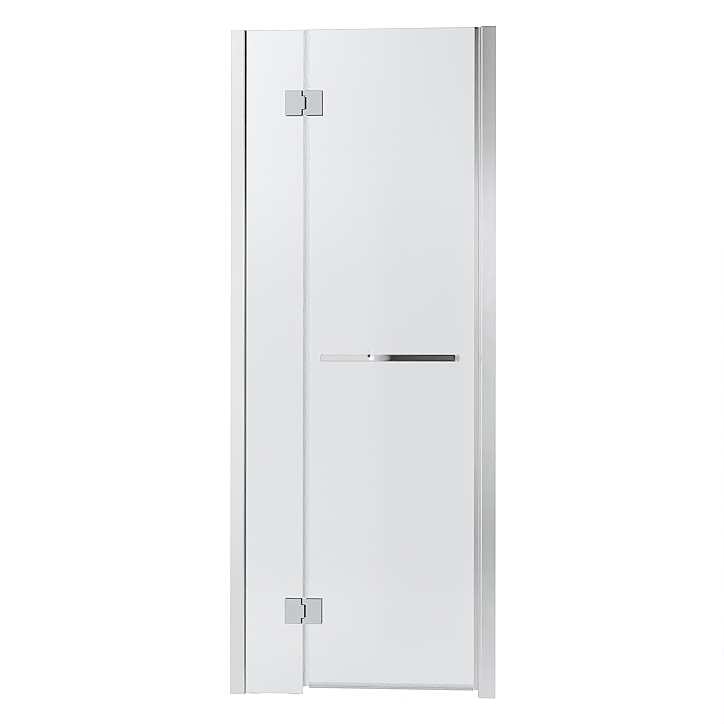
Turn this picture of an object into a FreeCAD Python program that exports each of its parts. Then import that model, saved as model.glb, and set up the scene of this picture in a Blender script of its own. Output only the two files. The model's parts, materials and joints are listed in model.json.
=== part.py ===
import FreeCAD, Part
import Sketcher
import os

# Hinged shower door with an inline fixed panel, millimetres.
# X runs to the right along the door, Y from the room towards the shower, Z up.
# The origin is at tray level, in the middle of the door's footprint.

V = FreeCAD.Vector
doc = FreeCAD.newDocument("HingedShowerDoor")
sheet = doc.addObject("Spreadsheet::Sheet", "Params")


class Dim:
    """A length and the formula that gives it from the sheet's cells."""

    def __init__(self, value, formula):
        self.value = float(value)
        self.formula = formula

    @staticmethod
    def of(x):
        if isinstance(x, Dim):
            return x
        return Dim(x, "(%r)" % float(x))

    def __add__(self, other):
        other = Dim.of(other)
        return Dim(self.value + other.value, "(%s + %s)" % (self.formula, other.formula))

    def __sub__(self, other):
        other = Dim.of(other)
        return Dim(self.value - other.value, "(%s - %s)" % (self.formula, other.formula))

    def __mul__(self, other):
        other = Dim.of(other)
        return Dim(self.value * other.value, "(%s * %s)" % (self.formula, other.formula))

    def __truediv__(self, other):
        other = Dim.of(other)
        return Dim(self.value / other.value, "(%s / %s)" % (self.formula, other.formula))

    def __neg__(self):
        return Dim(-self.value, "(0 - %s)" % self.formula)

    __radd__ = __add__
    __rmul__ = __mul__

    def __rsub__(self, other):
        return Dim.of(other) - self


class Sizes:
    """The driving dimensions, by alias."""


p = Sizes()
TABLE = [
    # overall
    ("overall_w", 777, "wall to wall"),
    ("overall_h", 1950, "tray to top of the channels"),
    ("glass_y", 22, "glass mid-plane, behind the middle of the footprint"),
    ("glass_t", 8, "toughened glass"),
    ("glass_top", 1949.5, "top edge of both panes"),
    ("glass_arris", 0.7, "ground edge of the panes"),
    # wall channels
    ("chan_face", 41, "width of the left channel's face"),
    ("chan_face_right", 42.8, "width of the right channel's face"),
    ("chan_depth", 32, "depth of the channel"),
    ("chan_wall", 2, "wall thickness of the channel"),
    ("lip_len", 5, "length of the thick lip at the mouth"),
    ("lip_thick", 4, "thickness of the lip"),
    ("lip_round", 3.4, "rounding of the lip's outer edge"),
    ("chan_edge", 0.8, "rounding at the wall side"),
    ("cap_thick", 2.5, "plate of the top cap"),
    ("cap_plug", 8, "plug of the top cap, into the channel"),
    ("wall_hole_rad", 2.75, "fixing holes in the channel's web"),
    ("wall_hole_mid", 975, "middle of the row of fixing holes"),
    ("wall_hole_far", 1650, "outer pair, hole to hole"),
    ("wall_hole_near", 550, "inner pair, hole to hole"),
    # telescoping profiles
    ("prof_depth", 23.6, "depth of both inner profiles"),
    ("prof_wall", 1.8, "wall thickness of both inner profiles"),
    ("prof_back", 14, "wall to the back of the inner profiles"),
    ("glaz_nose", 40, "wall to the nose of the glazing profile"),
    ("strike_nose", 49.1, "wall to the nose of the strike profile"),
    ("nose_round", 1.5, "rounding of the noses"),
    ("groove_half", 4, "half width of the strike groove"),
    ("groove_deep", 4.4, "depth of the strike groove"),
    ("groove_wall", 1.6, "wall of the strike groove"),
    ("adj_from_wall", 22, "adjusting screws, from the wall"),
    ("adj_low", 250, "lowest adjusting screw"),
    ("adj_mid", 975, "middle adjusting screw"),
    ("adj_high", 1700, "highest adjusting screw"),
    ("adj_rad", 1.9, "adjusting screw shank"),
    ("adj_head_rad", 3.6, "adjusting screw head"),
    ("adj_head", 2, "height of the adjusting screw head"),
    # panes
    ("panel_left", -360, "left edge of the fixed pane"),
    ("panel_right", -175.1, "right edge of the fixed pane"),
    ("panel_low", 2, "bottom edge of the fixed pane"),
    ("door_left", -166.1, "left edge of the door pane"),
    ("door_right", 332.6, "right edge of the door pane"),
    ("door_low", 26, "bottom edge of the door pane"),
    ("block_len", 30, "setting block"),
    # glazing gaskets
    ("gasket_tail", 14, "gasket inside the profile"),
    ("gasket_nose", 4.3, "gasket in front of the profile"),
    # hinges
    ("hinge_high", 1733.4, "middle of the upper hinge"),
    ("hinge_low", 245, "middle of the lower hinge"),
    ("plate_tall", 73, "height of the hinge plates"),
    ("plate_thick", 9, "front plate"),
    ("rear_thick", 8, "rear clamp plate"),
    ("plate_edge", 0.7, "broken edge of the plates"),
    ("clamp_pad", 1, "clamp gasket"),
    ("pad_inset", 0.5, "gasket edge inside the plate's edge"),
    ("pad_tab_fix", 3, "tab of the fixed leaf's gasket, short of the hinge axis"),
    ("pad_tab_door", 2.4, "tab of the door leaf's gasket, beyond the hinge axis"),
    ("leaf_fix_out", -226.9, "outer edge of the fixed leaf"),
    ("leaf_fix_in", -179.4, "inner edge of the fixed leaf"),
    ("leaf_door_in", -165.2, "inner edge of the door leaf"),
    ("leaf_door_out", -118.9, "outer edge of the door leaf"),
    ("axis_x", -173, "hinge axis"),
    ("axis_front", 10, "hinge axis, in front of the glass mid-plane"),
    ("knuckle_rad", 4, "knuckle radius"),
    ("tongue_tall", 38, "height of the fixed leaf's tongue"),
    ("tongue_gap", 1.8, "tongue to ear"),
    ("pin_rad", 2, "hinge pin"),
    ("pin_tall", 71, "length of the hinge pin"),
    ("ear_bore_rad", 2.02, "bore of the ears"),
    ("bush_rad", 2.75, "outside of the bush"),
    ("bush_bore_rad", 2.05, "running bore of the bush"),
    ("washer_rad", 3.9, "thrust washer"),
    ("washer_thick", 1.6, "thrust washer"),
    ("screw_off", 21, "clamp screws, above and below the middle"),
    ("screw_rad", 2.45, "clamp screw shank"),
    ("tap_rad", 2.5, "tapped hole"),
    ("tap_deep", 6, "tapped hole"),
    ("screw_head_rad", 4.25, "clamp screw head"),
    ("screw_head", 4.8, "height of the clamp screw head"),
    ("sink_rad", 4.5, "counterbore of the rear plate"),
    ("sink_deep", 5.2, "counterbore of the rear plate"),
    ("hex_rad", 2.3, "hexagon socket, across the corners, halved"),
    ("hex_deep", 2.6, "hexagon socket"),
    ("clear_rad", 2.7, "clearance hole for the clamp screws"),
    ("glass_hole_rad", 7, "hole in the glass at a hinge screw"),
    ("sleeve_rad", 6.8, "nylon sleeve in that hole"),
    # bar handle
    ("bar_mid_x", 83.2, "middle of the bar"),
    ("bar_z", 986.6, "height of the bar"),
    ("bar_len", 403, "length of the bar"),
    ("bar_tall", 21.3, "height of the bar's section"),
    ("bar_thick", 8, "thickness of the bar's section"),
    ("bar_front", 62, "front of the bar, from the glass mid-plane"),
    ("bend_rad", 10.5, "outside of the bend"),
    ("bend_in_rad", 1, "inside of the bend"),
    ("bar_edge", 3.6, "rounded edge of the bar"),
    ("foot_pad", 0.8, "pad under the handle's foot and rosette"),
    ("handle_tap_rad", 2.05, "tapped hole in the foot"),
    ("handle_tap", 12, "depth of that hole"),
    ("handle_screw_rad", 2, "handle screw"),
    ("handle_hole_rad", 4, "hole in the glass at a handle screw"),
    ("handle_sleeve_rad", 3.8, "sleeve in that hole"),
    ("handle_clear_rad", 2.25, "bore of sleeve, pads and rosette"),
    ("rosette_rad", 4.7, "inside rosette"),
    ("rosette_thick", 7, "inside rosette"),
    ("rosette_edge", 0.4, "bevel of the rosette"),
    ("handle_sink_rad", 3.8, "counterbore of the rosette"),
    ("handle_sink", 4.2, "counterbore of the rosette"),
    ("handle_head_rad", 3.5, "head of the handle screw"),
    ("handle_head", 4, "head of the handle screw"),
    # seals on the door
    ("seal_air", 0.15, "glass to the inside of a seal"),
    ("seal_wall", 0.9, "legs of the hinge-side seal"),
    ("seal_leg", 9, "leg on the glass"),
    ("cover_lap", 0.4, "front lip of the hinge-side seal, over the fixed pane"),
    ("cover_air", 0.35, "that lip to the fixed pane"),
    ("bulb_mid", 4.5, "bulb centre, outside the glass edge"),
    ("bulb_rad", 3.7, "bulb of the hinge-side seal"),
    ("bulb_hole_rad", 2.9, "hollow of the bulb"),
    ("seal_cut", 1.5, "gap between a seal's end and a hinge plate"),
    ("sweep_from", -156.6, "left end of the sweep"),
    ("sweep_to", 324.6, "right end of the sweep"),
    ("sweep_top", 37, "top of the sweep's legs"),
    ("sweep_low", 19.2, "tip of the wiper"),
    ("sweep_wall", 1.2, "wall of the sweep"),
    ("strike_leg", 7, "leg of the strike-side seal on the glass"),
    ("strike_wall", 1, "wall of the strike-side seal"),
    ("strike_out", 5.2, "strike-side seal, outside the glass edge"),
    ("strike_low", 22, "bottom of the strike-side seal"),
    ("magnet_thick", 3, "magnet strips"),
    ("magnet_half", 3.6, "half width of the door's magnet strip"),
    ("magnet_gap", 0.45, "door seal to magnet carrier"),
]
for number, (alias, value, note) in enumerate(TABLE, start=1):
    sheet.set("A%d" % number, note)
    sheet.set("B%d" % number, "%s" % value)
    sheet.setAlias("B%d" % number, alias)
    setattr(p, alias, Dim(value, "Params." + alias))
doc.recompute()

PIECES = []


# ---------------------------------------------------------------- helpers
def new_body(label, z=None, x=None, turned=False):
    """A sub-part whose own Y is measured from the glass mid-plane."""
    body = doc.addObject("PartDesign::Body", label)
    body.Label = label
    body.AllowCompound = True
    if turned:
        body.Placement = FreeCAD.Placement(V(0, 0, 0), FreeCAD.Rotation(V(0, 0, 1), 180))
    body.setExpression("Placement.Base.y", p.glass_y.formula)
    if z is not None:
        body.setExpression("Placement.Base.z", Dim.of(z).formula)
    if x is not None:
        body.setExpression("Placement.Base.x", Dim.of(x).formula)
    PIECES.append(body)
    return body


def sketch_on(body, role, lift=None):
    sk = body.newObject("Sketcher::SketchObject", "Sketch")
    plane = [f for f in body.Origin.OriginFeatures if f.Role == role][0]
    sk.AttachmentSupport = [(plane, "")]
    sk.MapMode = "FlatFace"
    if lift is not None:
        sk.setExpression("AttachmentOffset.Base.z", Dim.of(lift).formula)
    return sk


def hold(sk, geo, pos, x, y):
    """Hold a point of the sketch at its distances from the origin."""
    for kind, dim, axis in (("DistanceX", x, -2), ("DistanceY", y, -1)):
        if abs(dim.value) < 1e-9:
            sk.addConstraint(Sketcher.Constraint("PointOnObject", geo, pos, axis))
        else:
            k = sk.addConstraint(Sketcher.Constraint(kind, -1, 1, geo, pos, dim.value))
            sk.setExpression("Constraints[%d]" % k, dim.formula)


def outline(sk, corners):
    corners = [(Dim.of(x), Dim.of(y)) for x, y in corners]
    first, n = sk.GeometryCount, len(corners)
    for i in range(n):
        (ax, ay), (bx, by) = corners[i], corners[(i + 1) % n]
        sk.addGeometry(Part.LineSegment(V(ax.value, ay.value, 0), V(bx.value, by.value, 0)), False)
    for i in range(n):
        sk.addConstraint(Sketcher.Constraint("Coincident", first + i, 2, first + (i + 1) % n, 1))
    for i, (x, y) in enumerate(corners):
        hold(sk, first + i, 1, x, y)


def rectangle(sk, x0, y0, x1, y1):
    outline(sk, [(x0, y0), (x1, y0), (x1, y1), (x0, y1)])


def circle(sk, x, y, r):
    x, y, r = Dim.of(x), Dim.of(y), Dim.of(r)
    g = sk.addGeometry(Part.Circle(V(x.value, y.value, 0), V(0, 0, 1), r.value), False)
    hold(sk, g, 3, x, y)
    k = sk.addConstraint(Sketcher.Constraint("Radius", g, r.value))
    sk.setExpression("Constraints[%d]" % k, r.formula)


def hexagon(sk, x, y, r):
    half, high = r * 0.5, r * 0.8660254
    outline(sk, [(x + r, y), (x + half, y + high), (x - half, y + high),
                 (x - r, y), (x - half, y - high), (x + half, y - high)])


def pad(body, sk, length, both=False, back=False):
    f = body.newObject("PartDesign::Pad", "Pad")
    f.Profile = sk
    f.setExpression("Length", Dim.of(length).formula)
    f.SideType = "Symmetric" if both else "One side"
    f.Reversed = back
    body.Tip = f
    doc.recompute()
    return f


def pocket(body, sk, length=None, both=False, back=False):
    before = body.Shape.Volume
    f = body.newObject("PartDesign::Pocket", "Pocket")
    f.Profile = sk
    if length is None:
        f.Type = "ThroughAll"
    else:
        f.setExpression("Length", Dim.of(length).formula)
    f.SideType = "Symmetric" if both else "One side"
    f.Reversed = back
    body.Tip = f
    doc.recompute()
    if not body.Shape.Volume < before - 1e-3:
        raise RuntimeError("the cut in %s removes nothing" % body.Label)
    return f


def soften(body, kind, size, test):
    """Fillet or Chamfer the edges of the tip that pass the test."""
    base = body.Tip
    names = ["Edge%d" % (i + 1) for i, e in enumerate(base.Shape.Edges) if test(e)]
    if not names:
        raise RuntimeError("no edge to soften in %s" % body.Label)
    f = body.newObject("PartDesign::" + kind, kind)
    f.Base = (base, names)
    f.setExpression("Radius" if kind == "Fillet" else "Size", Dim.of(size).formula)
    body.Tip = f
    doc.recompute()
    return f


def upright_at(*spots):
    """Edges that run along Z through one of these points."""
    def test(e):
        a, b = e.Vertexes[0].Point, e.Vertexes[-1].Point
        if abs(a.x - b.x) > 1e-4 or abs(a.y - b.y) > 1e-4 or abs(a.z - b.z) < 1e-3:
            return False
        return any(abs(a.x - Dim.of(x).value) < 1e-3 and abs(a.y - Dim.of(y).value) < 1e-3
                   for x, y in spots)
    return test


half_t = p.glass_t / 2
half_w = p.overall_w / 2
chan_top = p.overall_h - p.cap_thick
half_c = p.chan_depth / 2
half_p = p.prof_depth / 2


# ---------------------------------------------------------------- wall channels
def wall_channel(label, turned, face):
    """Extruded U with thick rounded lips, mouth towards the glass.
    Its own X is measured from the wall."""
    b = new_body(label, x=half_w if turned else -half_w, turned=turned)
    inner = half_c - p.chan_wall
    lip = half_c - p.lip_thick
    sk = sketch_on(b, "XY_Plane")
    outline(sk, [
        (0, -half_c), (face, -half_c), (face, -lip),
        (face - p.lip_len, -lip), (face - p.lip_len - 2, -inner),
        (p.chan_wall, -inner), (p.chan_wall, inner),
        (face - p.lip_len - 2, inner), (face - p.lip_len, lip),
        (face, lip), (face, half_c), (0, half_c),
    ])
    pad(b, sk, chan_top)
    soften(b, "Fillet", p.lip_round, upright_at((face, -half_c), (face, half_c)))
    soften(b, "Fillet", p.chan_edge, upright_at((0, -half_c), (0, half_c)))
    # fixing holes through the web, left open for the installer's own wall screws
    sk = sketch_on(b, "YZ_Plane")
    for spacing in (p.wall_hole_far, p.wall_hole_near):
        circle(sk, 0, p.wall_hole_mid - spacing / 2, p.wall_hole_rad)
        circle(sk, 0, p.wall_hole_mid + spacing / 2, p.wall_hole_rad)
    pocket(b, sk, p.chan_wall * 3, both=True)
    # adjusting screw holes through the flange on the shower side
    sk = sketch_on(b, "XZ_Plane")
    for z in (p.adj_low, p.adj_mid, p.adj_high):
        circle(sk, p.adj_from_wall, z, p.adj_rad + 0.2)
    pocket(b, sk, half_c + 1, back=turned)
    return b


wall_channel("wall_channel_left", False, p.chan_face)
wall_channel("wall_channel_right", True, p.chan_face_right)


def profile_holes(b, turned):
    sk = sketch_on(b, "XZ_Plane")
    for z in (p.adj_low, p.adj_mid, p.adj_high):
        circle(sk, p.adj_from_wall, z, p.adj_rad + 0.02)
    pocket(b, sk, half_c, back=turned)


# glazing profile: U that grips the fixed pane through its gaskets
b = new_body("glazing_profile_left", x=-half_w)
sk = sketch_on(b, "XY_Plane")
outline(sk, [
    (p.prof_back, -half_p), (p.glaz_nose, -half_p), (p.glaz_nose, -half_p + p.prof_wall),
    (p.prof_back + p.prof_wall, -half_p + p.prof_wall), (p.prof_back + p.prof_wall, half_p - p.prof_wall),
    (p.glaz_nose, half_p - p.prof_wall), (p.glaz_nose, half_p), (p.prof_back, half_p),
])
pad(b, sk, chan_top)
soften(b, "Fillet", p.nose_round, upright_at((p.glaz_nose, -half_p), (p.glaz_nose, half_p)))
profile_holes(b, False)

# strike profile: U with a groove in its nose for the magnet carrier
b = new_body("strike_profile_right", x=half_w, turned=True)
sk = sketch_on(b, "XY_Plane")
n, w, g, gd, gw = p.strike_nose, p.prof_wall, p.groove_half, p.groove_deep, p.groove_wall
outline(sk, [
    (p.prof_back, -half_p), (n, -half_p), (n, -g), (n - gd, -g), (n - gd, g), (n, g),
    (n, half_p), (p.prof_back, half_p), (p.prof_back, half_p - w), (n - w, half_p - w),
    (n - w, g + gw), (n - gd - gw, g + gw), (n - gd - gw, -g - gw), (n - w, -g - gw),
    (n - w, -half_p + w), (p.prof_back, -half_p + w),
])
pad(b, sk, chan_top)
soften(b, "Fillet", p.nose_round, upright_at((n, -half_p), (n, half_p)))
profile_holes(b, True)


# adjusting screws: pan heads on the shower side, three a channel
def adjusting_screws(label, turned):
    b = new_body(label, x=half_w if turned else -half_w, turned=turned)
    side = -1 if turned else 1
    # shank from the head's seat down through flange and profile
    sk = sketch_on(b, "XZ_Plane", lift=-half_c * side)
    for z in (p.adj_low, p.adj_mid, p.adj_high):
        circle(sk, p.adj_from_wall, z, p.adj_rad)
    pad(b, sk, half_c - half_p + p.prof_wall + 1.6, back=turned)
    sk = sketch_on(b, "XZ_Plane", lift=-half_c * side)
    for z in (p.adj_low, p.adj_mid, p.adj_high):
        circle(sk, p.adj_from_wall, z, p.adj_head_rad)
    pad(b, sk, p.adj_head, back=not turned)
    far = (half_c + p.adj_head).value
    soften(b, "Fillet", 0.9, lambda e: abs(abs(e.BoundBox.YMin) - far) < 1e-3 and e.BoundBox.YLength < 1e-3)
    # cross recess
    sk = sketch_on(b, "XZ_Plane", lift=-(half_c + p.adj_head) * side)
    for z in (p.adj_low, p.adj_mid, p.adj_high):
        x, a, c = p.adj_from_wall, 1.8, 0.45
        outline(sk, [(x + a, z - c), (x + a, z + c), (x + c, z + c), (x + c, z + a), (x - c, z + a),
                     (x - c, z + c), (x - a, z + c), (x - a, z - c), (x - c, z - c), (x - c, z - a),
                     (x + c, z - a), (x + c, z - c)])
    pocket(b, sk, 1.3, back=not turned)


adjusting_screws("adjusting_screws_left", False)
adjusting_screws("adjusting_screws_right", True)


# top caps: a plate over the channel with a plug inside it
def top_cap(label, turned, slot, face):
    b = new_body(label, x=half_w if turned else -half_w, turned=turned, z=chan_top)
    e = p.lip_round
    sk = sketch_on(b, "XY_Plane")
    if slot:
        s, deep = half_t + 0.4, half_w + p.panel_left - 1
        outline(sk, [(0, -half_c), (face, -half_c), (face, -s), (deep, -s), (deep, s),
                     (face, s), (face, half_c), (0, half_c)])
    else:
        rectangle(sk, 0, -half_c, face, half_c)
    pad(b, sk, p.cap_thick)
    soften(b, "Fillet", e, upright_at((face, -half_c), (face, half_c)))
    soften(b, "Fillet", p.chan_edge, upright_at((0, -half_c), (0, half_c)))
    sk = sketch_on(b, "XY_Plane")
    i = half_c - p.chan_wall - 0.3
    rectangle(sk, p.chan_wall + 0.3, -i, p.prof_back - 0.5, i)
    pad(b, sk, p.cap_plug, back=True)
    sk = sketch_on(b, "XY_Plane", lift=-p.cap_plug)
    rectangle(sk, p.chan_wall + 1.9, -i + 1.6, p.prof_back - 2.1, i - 1.6)
    pocket(b, sk, p.cap_plug - 0.5, back=True)


top_cap("top_cap_left", False, True, p.chan_face)
top_cap("top_cap_right", True, False, p.chan_face_right)


# ---------------------------------------------------------------- panes
LEAF_FIX_MID = (p.leaf_fix_out + p.leaf_fix_in) / 2
LEAF_DOOR_MID = (p.leaf_door_in + p.leaf_door_out) / 2
FOOT_LEFT = p.bar_mid_x - p.bar_len / 2 + p.bar_thick / 2
FOOT_RIGHT = p.bar_mid_x + p.bar_len / 2 - p.bar_thick / 2


def pane(label, left, right, low, holes):
    b = new_body(label, z=low)
    sk = sketch_on(b, "XY_Plane")
    rectangle(sk, left, -half_t, right, half_t)
    pad(b, sk, p.glass_top - low)
    # ground arris on every edge
    soften(b, "Chamfer", p.glass_arris, lambda e: True)
    sk = sketch_on(b, "XZ_Plane")
    for x, z, r in holes:
        circle(sk, x, z - low, r)
    pocket(b, sk, p.glass_t * 2, both=True)
    return b


def hinge_holes(x):
    return [(x, mid + off, p.glass_hole_rad)
            for mid in (p.hinge_high, p.hinge_low) for off in (p.screw_off, -p.screw_off)]


pane("fixed_glass_panel", p.panel_left, p.panel_right, p.panel_low, hinge_holes(LEAF_FIX_MID))
pane("door_glass", p.door_left, p.door_right, p.door_low, hinge_holes(LEAF_DOOR_MID) + [
    (FOOT_LEFT, p.bar_z, p.handle_hole_rad), (FOOT_RIGHT, p.bar_z, p.handle_hole_rad)])

# setting blocks between the fixed pane and the tray
b = new_body("glass_setting_blocks")
sk = sketch_on(b, "XY_Plane")
for x in (p.panel_left + 28, p.panel_right - 12 - p.block_len):
    rectangle(sk, x, -half_t, x + p.block_len, half_t)
pad(b, sk, p.panel_low)


# glazing gaskets: a strip on each face of the fixed pane, with a lip over the profile's nose
def glazing_gasket(label, side):
    b = new_body(label, x=-half_w)
    inside, n = half_p - p.prof_wall, p.glaz_nose
    sk = sketch_on(b, "XY_Plane")
    outline(sk, [(x, y * side) for x, y in [
        (n - p.gasket_tail, half_t), (n + p.gasket_nose, half_t), (n + p.gasket_nose, half_t + 3),
        (n + p.gasket_nose / 2, inside + 0.8), (n, inside + 0.8), (n, inside), (n - p.gasket_tail, inside)]])
    pad(b, sk, chan_top)


glazing_gasket("glazing_gasket_front", -1)
glazing_gasket("glazing_gasket_rear", 1)

# magnet carrier and magnet strip in the strike profile's groove
CARRIER_FACE = p.door_right + p.strike_out + p.magnet_gap
b = new_body("strike_magnet_carrier")
back = half_w - p.strike_nose + p.groove_deep - 0.1
sk = sketch_on(b, "XY_Plane")
rectangle(sk, CARRIER_FACE, -p.groove_half + 0.1, back, p.groove_half - 0.1)
pad(b, sk, chan_top)
soften(b, "Fillet", 0.8, upright_at((CARRIER_FACE, -p.groove_half + 0.1), (CARRIER_FACE, p.groove_half - 0.1)))
sk = sketch_on(b, "XY_Plane")
rectangle(sk, CARRIER_FACE + 0.8, -p.groove_half + 0.9, CARRIER_FACE + 1 + p.magnet_thick, p.groove_half - 0.9)
pocket(b, sk, chan_top * 2, both=True)
b = new_body("strike_magnet_strip")
sk = sketch_on(b, "XY_Plane")
rectangle(sk, CARRIER_FACE + 0.9, -p.groove_half + 1, CARRIER_FACE + 0.9 + p.magnet_thick, p.groove_half - 1)
pad(b, sk, chan_top)


# ---------------------------------------------------------------- hinges
FRONT_SEAT = half_t + p.clamp_pad            # back of the front plate, in front of the mid-plane
FRONT_FACE = FRONT_SEAT + p.plate_thick
REAR_FACE = FRONT_SEAT + p.rear_thick
half_h = p.plate_tall / 2
axis_y = -p.axis_front


def plate_rim(face_y, keep_in):
    """Straight edges of a plate's outer face, without those along the joint line."""
    def test(e):
        bb = e.BoundBox
        if bb.YLength > 1e-3 or abs(bb.YMin - face_y) > 1e-3:
            return False
        if bb.XLength < 1e-3 and bb.ZLength > 30:
            return not keep_in(bb.XMin)
        return bb.ZLength < 1e-3 and bb.XLength > 20 and abs(abs(bb.ZMin) - half_h.value) < 1e-3
    return test


def tapped_holes(b, x):
    sk = sketch_on(b, "XZ_Plane", lift=FRONT_SEAT)
    circle(sk, x, p.screw_off, p.tap_rad)
    circle(sk, x, -p.screw_off, p.tap_rad)
    pocket(b, sk, p.tap_deep, back=True)


def rear_plate(label, z, left, right, mid):
    b = new_body(label, z=z)
    sk = sketch_on(b, "XZ_Plane", lift=-REAR_FACE)
    rectangle(sk, left, -half_h, right, half_h)
    pad(b, sk, p.rear_thick)
    far = REAR_FACE.value
    soften(b, "Chamfer", p.plate_edge, lambda e: e.BoundBox.YLength < 1e-3 and abs(e.BoundBox.YMin - far) < 1e-3)
    sk = sketch_on(b, "XZ_Plane", lift=-REAR_FACE)
    circle(sk, mid, p.screw_off, p.clear_rad)
    circle(sk, mid, -p.screw_off, p.clear_rad)
    pocket(b, sk, p.rear_thick * 3, both=True)
    sk = sketch_on(b, "XZ_Plane", lift=-REAR_FACE)
    circle(sk, mid, p.screw_off, p.sink_rad)
    circle(sk, mid, -p.screw_off, p.sink_rad)
    pocket(b, sk, p.sink_deep * 2, both=True)


def clamp_gaskets(label, z, front, rear, mid):
    """A sheet under each plate. The front one also closes the gap at the joint line."""
    b = new_body(label, z=z)
    for lift, corners in ((FRONT_SEAT - p.clamp_pad, front), (-FRONT_SEAT, rear)):
        sk = sketch_on(b, "XZ_Plane", lift=lift)
        outline(sk, corners)
        circle(sk, mid, p.screw_off, p.clear_rad)
        circle(sk, mid, -p.screw_off, p.clear_rad)
        pad(b, sk, p.clamp_pad)


def sleeves(label, z, spots, outer, bore):
    b = new_body(label, z=z)
    sk = sketch_on(b, "XZ_Plane")
    for x, dz in spots:
        circle(sk, x, dz, outer)
        circle(sk, x, dz, bore)
    pad(b, sk, p.glass_t - 0.2, both=True)


def socket_screws(label, z, spots, seat, head_rad, head, shank_rad, tip, hex_rad, hex_deep):
    """Socket-head screws put in from the shower side: seat and tip are Y from the mid-plane."""
    b = new_body(label, z=z)
    sk = sketch_on(b, "XZ_Plane", lift=-(seat + head))
    for x, dz in spots:
        circle(sk, x, dz, head_rad)
    pad(b, sk, head)
    far = (seat + head).value
    soften(b, "Chamfer", 0.4, lambda e: e.BoundBox.YLength < 1e-3 and abs(e.BoundBox.YMin - far) < 1e-3)
    sk = sketch_on(b, "XZ_Plane", lift=-seat)
    for x, dz in spots:
        circle(sk, x, dz, shank_rad)
    pad(b, sk, seat - tip)
    sk = sketch_on(b, "XZ_Plane", lift=-(seat + head))
    for x, dz in spots:
        hexagon(sk, Dim.of(x), Dim.of(dz), hex_rad)
    pocket(b, sk, hex_deep, back=True)


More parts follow.
